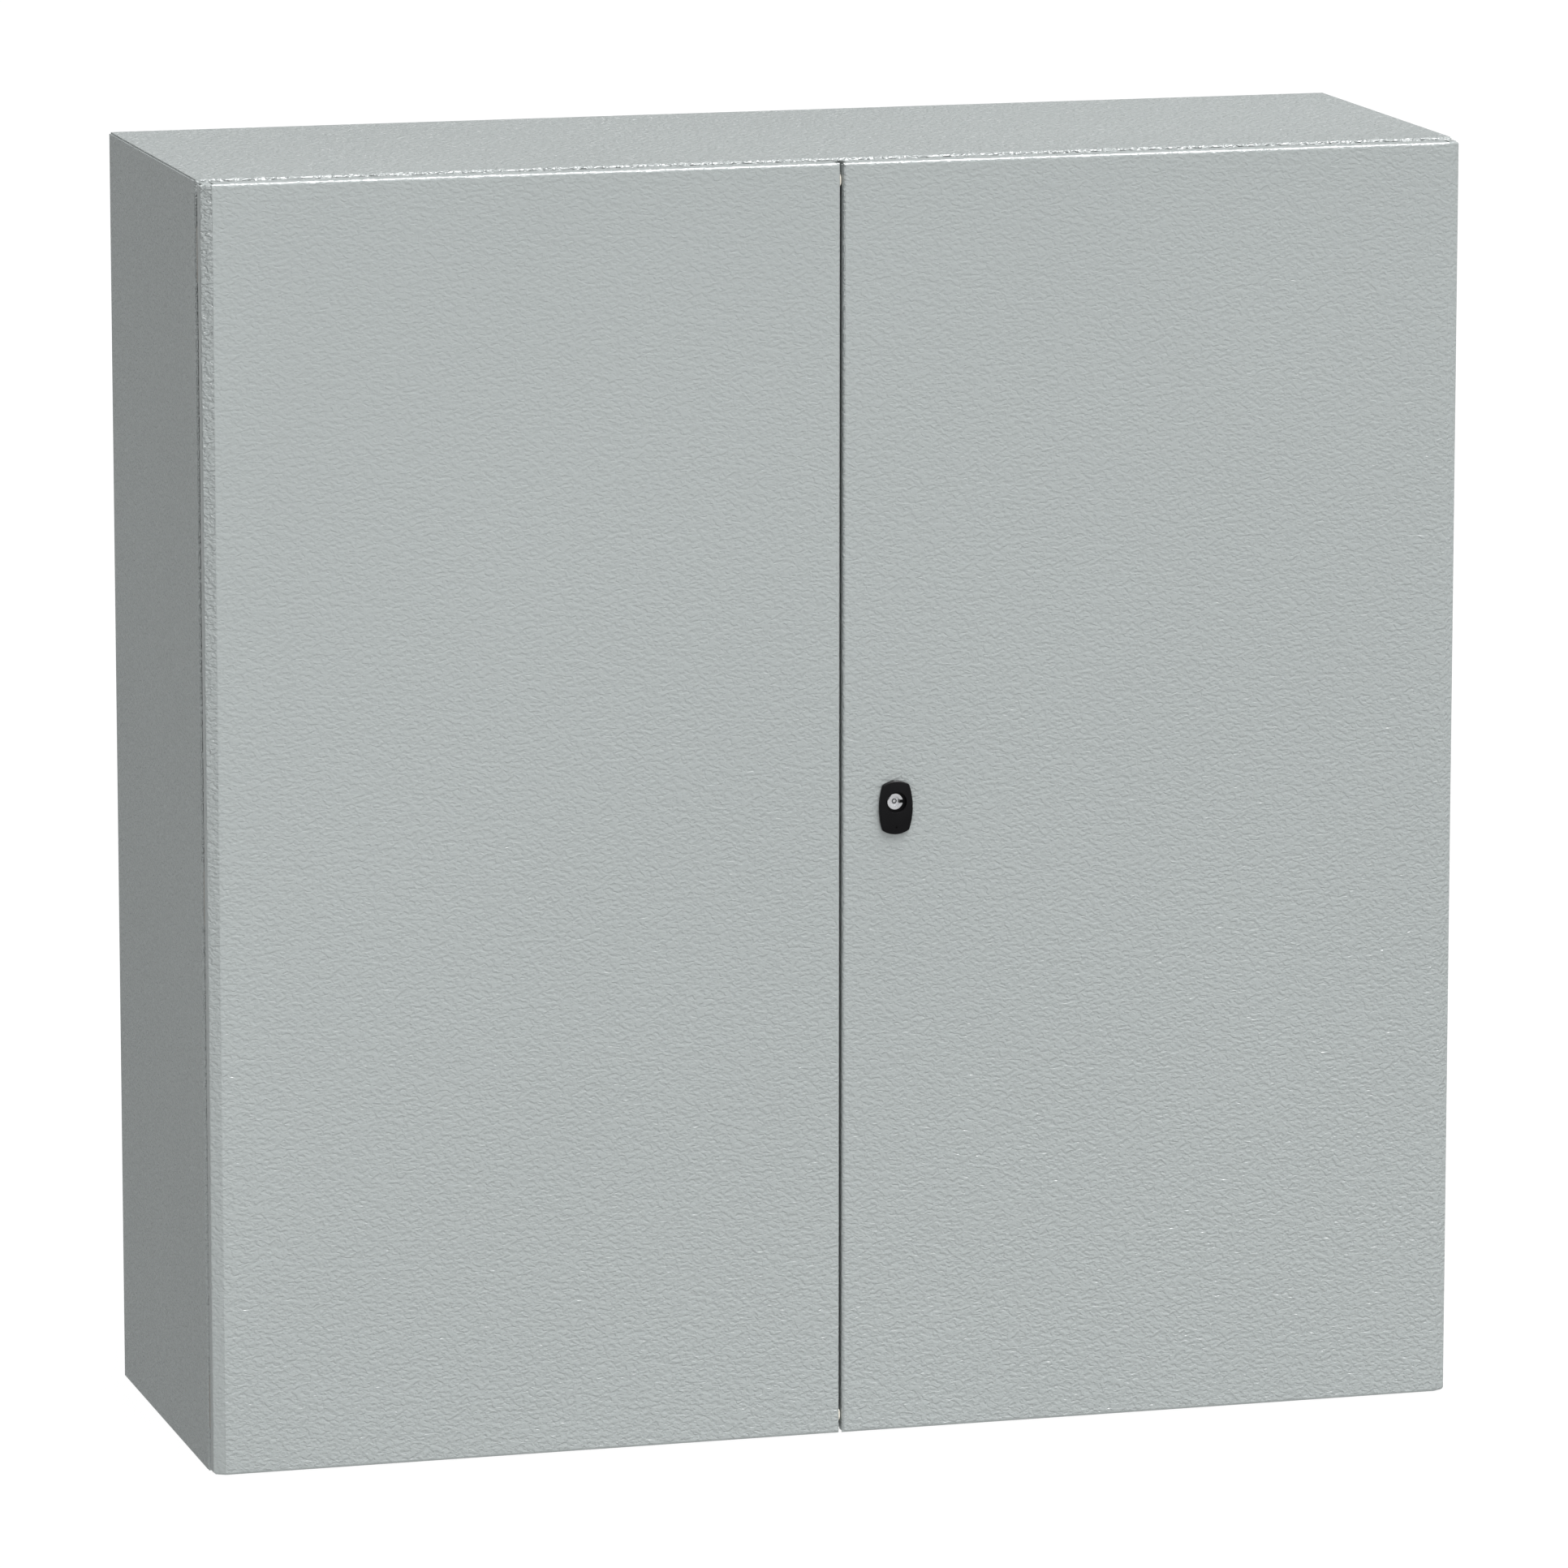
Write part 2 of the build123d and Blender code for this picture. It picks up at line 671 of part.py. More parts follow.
def right_gasket():
    """Closed gasket ring whose inner upright seals on the centre channel."""
    lip_middle = CHANNEL_REACH - SHEET / 2
    inner = lip_middle - GASKET_WIDTH / 2
    outer = HALF_WIDTH - GASKET_INSET
    low = GASKET_INSET
    high = HEIGHT - GASKET_INSET
    hollow_x = (inner + GASKET_WIDTH, outer - GASKET_WIDTH)
    hollow_z = (low + GASKET_WIDTH, high - GASKET_WIDTH)
    ring = gasket_strip((inner, outer), (low, high)) - gasket_strip(hollow_x, hollow_z)
    return rounded_gasket(ring)


def centre_channel():
    """Channel on the left door that reaches behind the right door's meeting edge."""
    wall_x = -CENTRE_GAP / 2 - SHEET
    skin = [
        (wall_x - CHANNEL_FOOT, at_depth(SHEET)),
        (wall_x, at_depth(SHEET)),
        (wall_x, at_depth(CHANNEL_FLANGE_DEPTH)),
        (CHANNEL_REACH - SHEET, at_depth(CHANNEL_FLANGE_DEPTH)),
        (CHANNEL_REACH - SHEET, at_depth(CHANNEL_LIP_DEPTH)),
    ]
    flipped = [(-x, y) for x, y in skin]
    section = mirror(folded_profile(flipped, (TIGHT_BEND, TIGHT_BEND, FOLD_BEND)), about=Plane.YZ)
    return extrude(Pos(0, 0, CHANNEL_END) * section, HEIGHT - 2 * CHANNEL_END)


def foam_pad(height):
    """Soft lens-shaped pad on the left door's meeting edge."""
    radius = ((PAD_HEIGHT / 2) ** 2 + PAD_BULGE**2) / (2 * PAD_BULGE)
    edge = -CENTRE_GAP / 2
    centre = edge + PAD_BULGE - radius
    front, back = (at_depth(depth) for depth in PAD_DEPTHS)
    room_z = (height - PAD_HEIGHT, height + PAD_HEIGHT)
    room = block((edge, edge + PAD_BULGE), (front, back), room_z)
    return bar(radius, (centre, front, height), (centre, back, height)) & room


def door_rail(x):
    """Perforated U-section rail with its legs on the door's inner face."""
    half = RAIL_WIDTH / 2
    rail_y = (at_depth(SHEET), at_depth(RAIL_BACK))
    rail = block((x - half, x + half), rail_y, (RAIL_END, HEIGHT - RAIL_END))
    bore_x = (x - half + SHEET, x + half - SHEET)
    rail -= block(bore_x, (at_depth(0), at_depth(RAIL_BACK - SHEET)), (0, HEIGHT))
    slot = Plane(origin=(x, at_depth(RAIL_BACK + 1), 0), x_dir=(0, 0, 1), z_dir=(0, -1, 0))
    cutter = extrude(slot * SlotOverall(*RAIL_SLOT), SHEET + 2)
    count = int((HEIGHT - 2 * RAIL_END) / RAIL_SLOT_PITCH)
    first = MID_HEIGHT - (count - 1) * RAIL_SLOT_PITCH / 2
    for step in range(count):
        rail -= Pos(0, 0, first + step * RAIL_SLOT_PITCH) * cutter
    return rail


# Lock

def escutcheon():
    """Domed lock cover with four bowed sides and a round key well."""
    half_x, half_z = ESCUTCHEON_CORNERS
    bulge_x, bulge_z = ESCUTCHEON_BULGE
    outline = make_face(
        [
            ThreePointArc((-half_x, -half_z), (0, -bulge_z), (half_x, -half_z)),
            ThreePointArc((half_x, -half_z), (bulge_x, 0), (half_x, half_z)),
            ThreePointArc((half_x, half_z), (0, bulge_z), (-half_x, half_z)),
            ThreePointArc((-half_x, half_z), (-bulge_x, 0), (-half_x, -half_z)),
        ]
    )
    outline = fillet(outline.vertices(), ESCUTCHEON_CORNER_BEND)
    seat = (LOCK_X, at_depth(0), ESCUTCHEON_Z)
    plane = Plane(origin=seat, x_dir=(1, 0, 0), z_dir=(0, -1, 0))
    cover = extrude(plane * outline, ESCUTCHEON_THICK)
    crown_centre = at_depth(ESCUTCHEON_CROWN - ESCUTCHEON_THICK)
    cover &= Pos(LOCK_X, crown_centre, ESCUTCHEON_Z) * Sphere(ESCUTCHEON_CROWN)
    crown = cover.faces().sort_by(Axis.Y)[0]
    cover = fillet(crown.edges(), ESCUTCHEON_RIM_BEND)
    outside = at_depth(-2 * ESCUTCHEON_THICK)
    cover -= bar(WELL_RADIUS, (LOCK_X, outside, LOCK_Z), (LOCK_X, at_depth(1), LOCK_Z))
    dimple_z = LOCK_Z - DIMPLE_DROP
    dimple_floor = (LOCK_X, at_depth(DIMPLE_FLOOR), dimple_z)
    return cover - bar(DIMPLE_RADIUS, (LOCK_X, outside, dimple_z), dimple_floor)


def lock_barrel():
    """Lock barrel through the door, bored for the turning insert."""
    start = (LOCK_X, at_depth(0), LOCK_Z)
    end = (LOCK_X, at_depth(BARREL_BACK), LOCK_Z)
    return tube(BARREL_RADIUS, INSERT_RADIUS + PIN_CLEARANCE, start, end)


def lock_nut():
    """Hexagon nut that clamps the barrel to the door."""
    start = (LOCK_X, at_depth(SHEET), LOCK_Z)
    end = (LOCK_X, at_depth(SHEET + LOCK_NUT_THICK), LOCK_Z)
    return hex_nut(LOCK_NUT_FLATS, BARREL_RADIUS + THREAD_GAP, start, end)


def square_tail(front, back):
    """Square bar on the lock axis, the shape of the insert's tail and of the cam's hole."""
    half = TAIL_SIZE / 2
    return block((LOCK_X - half, LOCK_X + half), (front, back), (LOCK_Z - half, LOCK_Z + half))


def lock_insert():
    """Turning insert: key recess with a centre pin in front, square tail behind."""
    face = (LOCK_X, at_depth(INSERT_FACE), LOCK_Z)
    floor = (LOCK_X, at_depth(INSERT_FACE + KEY_RECESS_DEPTH), LOCK_Z)
    hole_end = (LOCK_X, at_depth(INSERT_FACE + KEY_HOLE_DEPTH), LOCK_Z)
    insert = bar(INSERT_RADIUS, face, (LOCK_X, at_depth(BARREL_BACK), LOCK_Z))
    insert -= bar(KEY_RECESS_RADIUS, face, floor)
    insert -= tube(KEY_HOLE_RADIUS, KEY_PIN_RADIUS, floor, hole_end)
    centre = Pos(LOCK_X, 0, LOCK_Z)
    notch_x = (KEY_HOLE_RADIUS + 1, INSERT_RADIUS + 1)
    notch_z = (-KEY_NOTCH_WIDTH / 2, KEY_NOTCH_WIDTH / 2)
    insert -= centre * block(notch_x, (face[1], hole_end[1]), notch_z)
    flat_x = (-INSERT_RADIUS - 1, -INSERT_FLAT)
    flat = block(flat_x, (face[1], floor[1]), (-INSERT_RADIUS, INSERT_RADIUS))
    insert -= centre * Rot(0, INSERT_FLAT_TURN, 0) * flat
    return insert + square_tail(at_depth(BARREL_BACK), at_depth(CAM_DEPTHS[1]))


def lock_cam():
    """Cam disc on the square tail, with a crank pin for each rod."""
    front, back = (at_depth(depth) for depth in CAM_DEPTHS)
    cam = bar(CAM_RADIUS, (LOCK_X, front, LOCK_Z), (LOCK_X, back, LOCK_Z))
    cam -= square_tail(front, back)
    pin_back = at_depth(ROD_DEPTHS[1] + 1)
    for side in (LEFT, RIGHT):
        x = LOCK_X + side * CRANK_OFFSET
        z = LOCK_Z - side * CRANK_OFFSET
        cam += bar(CRANK_PIN_RADIUS, (x, back, z), (x, pin_back, z))
    return cam


def cam_screw():
    """Screw and washer head that holds the cam on the tail."""
    back = at_depth(CAM_DEPTHS[1])
    return bar(CAM_SCREW_RADIUS, (LOCK_X, back, LOCK_Z), (LOCK_X, back + CAM_SCREW_HEAD, LOCK_Z))


def upper_rod():
    """Flat locking rod with a yoke slot at the cam and a wedge block at its tip."""
    centre = LOCK_X + ROD_CENTRE_OFFSET
    rod_x = (centre - ROD_WIDTH / 2, centre + ROD_WIDTH / 2)
    depths = [at_depth(depth) for depth in ROD_DEPTHS]
    yoke_z = LOCK_Z - CRANK_OFFSET
    rod = block(rod_x, depths, (yoke_z - ROD_YOKE_END, ROD_TIP_Z))
    tip_y = (at_depth(ROD_TIP_FRONT), depths[1])
    rod += block(rod_x, tip_y, (ROD_TIP_Z - ROD_TIP_LENGTH, ROD_TIP_Z))
    room = CRANK_PIN_RADIUS + YOKE_CLEARANCE
    slot_middle = LOCK_X + (CRANK_OFFSET + CRANK_RADIUS) / 2
    slot_length = CRANK_RADIUS - CRANK_OFFSET + 2 * room
    plane = Plane(origin=(slot_middle, depths[1] + 1, yoke_z), x_dir=(1, 0, 0), z_dir=(0, -1, 0))
    depth = depths[1] - depths[0] + 2
    return rod - extrude(plane * SlotOverall(slot_length, 2 * room), depth)


def lower_copy(part):
    """The upper part turned half a turn about the lock axis."""
    return Pos(LOCK_X, 0, LOCK_Z) * Rot(0, 180, 0) * Pos(-LOCK_X, 0, -LOCK_Z) * part


def rod_guide():
    """Bridge on the right door that the upper rod slides through."""
    centre = LOCK_X + ROD_CENTRE_OFFSET
    front, back = ROD_DEPTHS
    z_range = (ROD_GUIDE_Z - ROD_GUIDE_HALF_HEIGHT, ROD_GUIDE_Z + ROD_GUIDE_HALF_HEIGHT)

    def opening(margin, first_depth, last_depth):
        half = ROD_WIDTH / 2 + margin
        return block((centre - half, centre + half), (at_depth(first_depth), at_depth(last_depth)), z_range)

    guide = opening(ROD_GUIDE_WALL, SHEET, back + ROD_GUIDE_BRIDGE)
    guide -= opening(ROD_GUIDE_WINDOW_MARGIN, SHEET + ROD_GUIDE_FOOT, front - ROD_GUIDE_BRIDGE)
    return guide - opening(ROD_GUIDE_CLEARANCE, front - ROD_GUIDE_CLEARANCE, back + ROD_GUIDE_CLEARANCE)


def lock_case():
    """Folded cover over the lock drive, open above and below for the rods."""
    half = CASE_HALF_WIDTH
    skin = [
        (half + CASE_FOOT, SHEET),
        (half, SHEET),
        (half, CASE_BACK),
        (-half, CASE_BACK),
        (-half, SHEET),
    ]
    points = [(LOCK_X + x, at_depth(depth)) for x, depth in skin]
    section = folded_profile(points, (TIGHT_BEND, FOLD_BEND, FOLD_BEND))
    return extrude(Pos(0, 0, LOCK_Z - CASE_HALF_HEIGHT) * section, 2 * CASE_HALF_HEIGHT)


# Left door bolts

def bolt():
    """Upper sliding bolt with a finger knob."""
    y = at_depth(BOLT_DEPTH)
    low = BOLT_TIP_Z - BOLT_LENGTH
    rod = bar(BOLT_RADIUS, (BOLT_X, y, low), (BOLT_X, y, BOLT_TIP_Z))
    rod = chamfer(rod.faces().sort_by(Axis.Z)[-1].edges(), BOLT_CHAMFER)
    knob_z = low + BOLT_KNOB_HEIGHT
    knob_end = (BOLT_X - BOLT_KNOB_REACH, y, knob_z)
    return rod + bar(BOLT_KNOB_RADIUS, (BOLT_X, y, knob_z), knob_end)


def bolt_guide():
    """Cast guide of the upper bolt: foot on the door, web and bored boss."""
    y = at_depth(BOLT_DEPTH)
    span = BOLT_GUIDE_Z
    foot_back = at_depth(SHEET + BOLT_GUIDE_FOOT_THICK)
    foot_x = (BOLT_X - BOLT_GUIDE_FOOT[0], BOLT_X + BOLT_GUIDE_FOOT[1])
    web_x = (BOLT_X - BOLT_GUIDE_WEB / 2, BOLT_X + BOLT_GUIDE_WEB / 2)
    guide = block(foot_x, (at_depth(SHEET), foot_back), span)
    guide += block(web_x, (foot_back, y), span)
    guide += bar(BOLT_GUIDE_BOSS_RADIUS, (BOLT_X, y, span[0]), (BOLT_X, y, span[1]))
    bore = BOLT_RADIUS + PIN_CLEARANCE
    return guide - bar(bore, (BOLT_X, y, span[0] - 1), (BOLT_X, y, span[1] + 1))


def build_body():
    """Write every piece of the fixed body."""
    side = drill_hinge_screws(side_panel())
    export("rear_panel", rear_panel())
    export("left_side_panel", side)
    export("right_side_panel", mirrored(side, RIGHT))
    export("top_panel", top_panel())
    export("bottom_panel", bottom_panel())
    for name, hand in (("left", LEFT), ("right", RIGHT)):
        export(f"{name}_gland_plate", gland_plate(hand))
        export(f"{name}_gland_gasket", gland_gasket(hand))
        export(f"{name}_body_hinges", *[mirrored(body_hinge(z), hand) for z in HINGE_HEIGHTS])
        export(f"{name}_hinge_pins", *[mirrored(hinge_pin(z), hand) for z in HINGE_HEIGHTS])
        export(f"{name}_hinge_screws", *[mirrored(screw, hand) for screw in hinge_screws()])
    export("gland_screws", *gland_screws())
    export("mounting_plate", mounting_plate())
    export("mounting_plate_studs", *plate_studs())
    export("mounting_plate_spacers", *plate_spacers())
    export("mounting_plate_washers", *plate_washers())
    export("mounting_plate_nuts", *plate_nuts())
    export("body_earth_stud", *earth_stud((*BODY_EARTH_PLACE, SHEET), (0, 0, 1)))


def build_left_door():
    """Write every piece of the left door and its bolts."""
    export("left_door_panel", door_pan())
    export("left_door_gasket", left_gasket())
    export("centre_channel", centre_channel())
    export("meeting_edge_pads", foam_pad(PAD_END_DISTANCE), foam_pad(HEIGHT - PAD_END_DISTANCE))
    export("left_door_rails", *[door_rail(-x) for x in RAIL_OFFSETS])
    export("left_door_hinge_leaves", *[door_hinge_leaf(z) for z in HINGE_HEIGHTS])
    export("left_door_earth_stud", *door_earth_stud(LEFT))
    export("upper_bolt_guide", bolt_guide())
    export("lower_bolt_guide", upside_down(bolt_guide()))
    export("upper_bolt", bolt())
    export("lower_bolt", upside_down(bolt()))


def build_right_door():
    """Write every piece of the right door and its lock."""
    export("right_door_panel", mirrored(door_pan(), RIGHT) - lock_hole())
    export("right_door_gasket", right_gasket())
    export("right_door_rails", *[door_rail(x) for x in RAIL_OFFSETS])
    leaves = [mirrored(door_hinge_leaf(z), RIGHT) for z in HINGE_HEIGHTS]
    export("right_door_hinge_leaves", *leaves)
    export("right_door_earth_stud", *door_earth_stud(RIGHT))
    export("lock_escutcheon", escutcheon())
    export("lock_barrel", lock_barrel())
    export("lock_nut", lock_nut())
    export("lock_insert", lock_insert())
    export("lock_cam", lock_cam())
    export("lock_cam_screw", cam_screw())
    export("lock_case", lock_case())
    export("upper_rod_guide", rod_guide())
    export("lower_rod_guide", lower_copy(rod_guide()))
    export("upper_rod", upper_rod())
    export("lower_rod", lower_copy(upper_rod()))


os.makedirs("parts", exist_ok=True)
build_body()
build_left_door()
build_right_door()
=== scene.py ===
"""Looks of the industrial switchboard cabinet: paint, metals, foam gaskets, light and camera.

Units are metres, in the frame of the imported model: +X right, -Y the doors, +Z up.
"""

import json
import math

import bpy
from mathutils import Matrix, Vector


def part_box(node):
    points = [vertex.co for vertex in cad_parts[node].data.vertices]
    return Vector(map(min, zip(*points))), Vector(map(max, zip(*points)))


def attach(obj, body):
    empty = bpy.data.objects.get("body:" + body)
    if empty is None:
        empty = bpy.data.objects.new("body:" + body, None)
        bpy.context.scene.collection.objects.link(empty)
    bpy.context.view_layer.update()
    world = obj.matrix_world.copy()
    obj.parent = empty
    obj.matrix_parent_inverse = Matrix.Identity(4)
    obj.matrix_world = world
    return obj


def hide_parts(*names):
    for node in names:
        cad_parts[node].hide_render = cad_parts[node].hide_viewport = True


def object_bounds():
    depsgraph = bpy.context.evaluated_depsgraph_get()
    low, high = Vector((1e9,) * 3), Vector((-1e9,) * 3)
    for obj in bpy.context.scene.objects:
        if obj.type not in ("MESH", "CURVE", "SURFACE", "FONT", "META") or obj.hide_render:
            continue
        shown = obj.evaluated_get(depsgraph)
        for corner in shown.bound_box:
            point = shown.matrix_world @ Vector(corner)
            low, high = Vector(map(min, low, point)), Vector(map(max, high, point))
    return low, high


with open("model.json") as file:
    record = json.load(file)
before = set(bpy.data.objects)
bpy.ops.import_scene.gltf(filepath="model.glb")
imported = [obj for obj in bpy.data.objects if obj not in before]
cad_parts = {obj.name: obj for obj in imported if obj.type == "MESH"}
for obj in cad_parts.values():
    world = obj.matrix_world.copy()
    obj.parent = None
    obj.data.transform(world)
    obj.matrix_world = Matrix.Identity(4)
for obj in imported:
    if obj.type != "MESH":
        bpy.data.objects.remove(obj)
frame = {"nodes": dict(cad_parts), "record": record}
CAD_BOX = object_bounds()
MM = 0.001

# Light and camera
CAMERA_PLACE = (-2.468, -8.8321, 2.2988)
CAMERA_TILT = 79.41
CAMERA_TURN = -15.617
CAMERA_LENS = 226.5
KEY_TOWARDS = (0.19, -0.32, 0.93)
KEY_STRENGTH = 3.7
KEY_ANGLE = 44.0
GLINT_TOWARDS = (0.32, -0.16, 0.94)
GLINT_STRENGTH = 8.0
GLINT_ANGLE = 5.0
SKY_BEHIND = 0.345
SKY_IN_FRONT = 0.92
SKY_BELOW = 0.45
SKY_SEEN = 1.0
SKY_DIM_FROM = 0.1
SKY_DIM_TO = -0.5
FLOOR_SIZE = 60.0
FLOOR_DROP = 0.2 * MM
FLOOR_TONE = (0.05, 0.05, 0.05)
FLOOR_GLOW = 0.97
FLOOR_MOTTLE = 1.01

# Textures: the part of its range that most of a noise falls in, and how alike an edge's true
# and rounded normals are, from sharp to flat
COMMON = (0.3, 0.7)
EDGE_FACING = (0.80, 0.99)

# Paint
PAINT_TONE = (0.345, 0.372, 0.370)
PAINT_WORN = (0.44, 0.47, 0.47)
# Painted shade: how much darker the paint colour is made in the orange-peel valleys
PAINTED_VALLEY_SHADE = 0.95
PAINT_DRIFT = 0.015
PAINT_EDGE = 1.2 * MM
PEEL_SCALE = 310.0
PEEL_STRETCH = (0.66, 1.0, 1.0)
PEEL_TURN = (0.5, 0.8, 0.3)
PEEL_HEIGHT = 0.78 * MM
BODY_PEEL_HEIGHT = 1.5 * PEEL_HEIGHT
CHANNEL_PEEL_HEIGHT = 0.4 * PEEL_HEIGHT
GRAIN_FINER = 6
GRAIN_SHALLOWER = 12
PEEL_UPWARDS = (-0.4, 0.0, 1.0)
PEEL_DEPTH_BELOW = 0.84
PEEL_DEPTH_ABOVE = 0.40
CHAMFER_FROM = (-0.30, -0.45)
CHAMFER_TO = (-0.75, -0.90)
CHAMFER_DEPTH_BELOW = -0.4
CHAMFER_DEPTH_ABOVE = 1.6

# Foam
FOAM_TONE = (0.68, 0.65, 0.57)
# Painted shade: the darker colour put into the bead foam's pores
FOAM_PAINTED_PORE_SHADE = (0.52, 0.49, 0.42)
PAD_TONE = (0.95, 0.90, 0.79)
# Painted shade: the darker colour put into the pad foam's pores
PAD_PAINTED_PORE_SHADE = (0.80, 0.75, 0.64)
BEAD_STEPS = 14
BEAD_SIDE_POWER = 0.62
BEAD_CROWN_POWER = 0.75
BEAD_SPACING = 12 * MM
CORNER_RADIUS = 9 * MM
CORNER_STEPS = 8
GASKET_WIDTH = 14 * MM
GASKET_BASE_GAP = 0.2 * MM
FLAT_GASKET_WIDTH = 20 * MM
FLAT_GASKET_CORNER = 12 * MM
PAD_HALF_HEIGHT = 5.75 * MM
PAD_RINGS = 14
PAD_SEGMENTS = 40
PAD_CROWN_POWER = 0.8
PAD_SPREAD_POWER = 0.7
PAD_DEPTH_POWER = 0.6
PAD_HEIGHT_POWER = 0.8


# Node materials

class Surface:
    """A principled material with helpers that add texture nodes to it."""

    def __init__(self, name, **values):
        self.data = bpy.data.materials.new(name)
        self.data.use_nodes = True
        self.tree = self.data.node_tree
        self.shader = self.tree.nodes["Principled BSDF"]
        self.place = self.tree.nodes.new("ShaderNodeTexCoord").outputs["Object"]
        for socket, value in values.items():
            self.shader.inputs[socket.replace("_", " ")].default_value = value

    def node(self, kind, inputs, **settings):
        """New node with its settings, and inputs given as values or as sockets to link."""
        node = self.tree.nodes.new(kind)
        for key, value in settings.items():
            setattr(node, key, value)
        for key, value in inputs.items():
            if isinstance(value, bpy.types.NodeSocket):
                self.tree.links.new(value, node.inputs[key])
            else:
                node.inputs[key].default_value = value
        return node

    def stretched(self, scale, turn=(0.0, 0.0, 0.0)):
        """Object coordinates with a scale for each axis, then turned off the grid of a noise."""
        inputs = {"Vector": self.place, "Scale": scale, "Rotation": turn}
        return self.node("ShaderNodeMapping", inputs).outputs["Vector"]

    def noise(self, scale, detail=2.0, roughness=0.5, place=None, distortion=0.0):
        """Noise from 0 to 1, with about scale features to the metre."""
        inputs = {"Vector": place or self.place, "Scale": scale, "Detail": detail}
        inputs |= {"Roughness": roughness, "Distortion": distortion}
        return self.node("ShaderNodeTexNoise", inputs).outputs["Fac"]

    def cells(self, scale, output="Distance"):
        """Cell pattern with about scale cells to the metre."""
        inputs = {"Vector": self.place, "Scale": scale}
        return self.node("ShaderNodeTexVoronoi", inputs).outputs[output]

    def span(self, value, low, high, start=0.0, end=1.0):
        """Value mapped from the range start..end to the range low..high."""
        inputs = {"Value": value, "From Min": start, "From Max": end, "To Min": low, "To Max": high}
        return self.node("ShaderNodeMapRange", inputs).outputs["Result"]

    def math(self, operation, first, second):
        """Arithmetic on two values."""
        return self.node("ShaderNodeMath", {0: first, 1: second}, operation=operation).outputs[0]

    def blend(self, factor, first, second):
        """Colour between two colours."""
        mix = self.node("ShaderNodeMix", {0: factor, 6: first, 7: second}, data_type="RGBA")
        return mix.outputs[2]

    def edges(self, radius, strength):
        """Mask that reaches its strength on edges and is 0 on flats and gentle curves."""
        rounded = self.node("ShaderNodeBevel", {"Radius": radius}, samples=4).outputs["Normal"]
        flat = self.node("ShaderNodeNewGeometry", {}).outputs["Normal"]
        facing = self.node("ShaderNodeVectorMath", {0: rounded, 1: flat}, operation="DOT_PRODUCT")
        return self.span(facing.outputs["Value"], strength, 0.0, *EDGE_FACING)

    def finish(self, colour=None, roughness=None, bumps=()):
        """Link colour, roughness and a chain of (height, distance) bumps to the shader."""
        shader = self.shader.inputs
        if colour is not None:
            self.tree.links.new(colour, shader["Base Color"])
        if roughness is not None:
            self.tree.links.new(roughness, shader["Roughness"])
        normal = None
        for height, distance in bumps:
            inputs = {"Strength": 1.0, "Distance": distance, "Height": height}
            if normal is not None:
                inputs["Normal"] = normal
            normal = self.node("ShaderNodeBump", inputs).outputs["Normal"]
        if normal is not None:
            self.tree.links.new(normal, shader["Normal"])
        return self.data


def tone(colour, factor=1.0):
    """Colour with alpha, made lighter or darker by a factor."""
    return tuple(min(1.0, part * factor) for part in colour) + (1.0,)


def chamfer_mask(paint):
    """Mask that is 1 on faces turned halfway to the left, where the powder builds up."""
    normal = paint.node("ShaderNodeTexCoord", {}).outputs["Normal"]
    sideways = paint.node("ShaderNodeSeparateXYZ", {"Vector": normal}).outputs["X"]
    past_front = paint.span(sideways, 0.0, 1.0, *CHAMFER_FROM)
    short_of_side = paint.span(sideways, 1.0, 0.0, *CHAMFER_TO)
    return paint.math("MULTIPLY", past_front, short_of_side)


def peel_depth(paint, deeper_below):
    """Depth of the skin: more on the chamfer's upper end and, on the doors, more lower down."""
    top = CAD_BOX[1][2]
    level = paint.node("ShaderNodeSeparateXYZ", {"Vector": paint.place}).outputs["Z"]
    built_up = paint.span(level, CHAMFER_DEPTH_BELOW, CHAMFER_DEPTH_ABOVE, 0.0, top)
    depth = paint.math("MULTIPLY", chamfer_mask(paint), built_up)
    if not deeper_below:
        return paint.math("ADD", depth, 1.0)
    inputs = {0: paint.place, 1: PEEL_UPWARDS}
    up = paint.node("ShaderNodeVectorMath", inputs, operation="DOT_PRODUCT").outputs["Value"]
    return paint.math("ADD", depth, paint.span(up, PEEL_DEPTH_BELOW, PEEL_DEPTH_ABOVE, 0.0, top))


def powder_coat(name, peel_height, deeper_below=False):
    """Light grey satin powder coat with a leathery orange-peel skin, and painted shade darkening
    the skin's valleys.
    """
    paint = Surface(name, Specular_IOR_Level=0.4)
    place = paint.stretched(PEEL_STRETCH, PEEL_TURN)
    wrinkles = paint.noise(PEEL_SCALE, detail=1.0, place=place, distortion=0.4)
    peel = paint.span(wrinkles, 0.0, 1.0, 0.32, 0.62)
    grain = paint.noise(PEEL_SCALE * GRAIN_FINER, detail=1.0)
    drift = paint.noise(2.2)
    darker = tone(PAINT_TONE, 1 - PAINT_DRIFT)
    lighter = tone(PAINT_TONE, 1 + PAINT_DRIFT)
    colour = paint.blend(paint.span(drift, 0.0, 1.0, *COMMON), darker, lighter)
    # Painted shade: the colour is darkened in the peel's valleys, where shade would fall
    colour = paint.blend(paint.span(peel, 0.5, 0.0), colour, tone(PAINT_TONE, PAINTED_VALLEY_SHADE))
    worn = paint.edges(PAINT_EDGE, 0.35)
    colour = paint.blend(worn, colour, tone(PAINT_WORN))
    roughness = paint.span(drift, 0.30, 0.36, *COMMON)
    height = paint.math("MULTIPLY", peel, peel_depth(paint, deeper_below))
    bumps = [(height, peel_height), (grain, peel_height / GRAIN_SHALLOWER)]
    return paint.finish(colour, roughness, bumps)


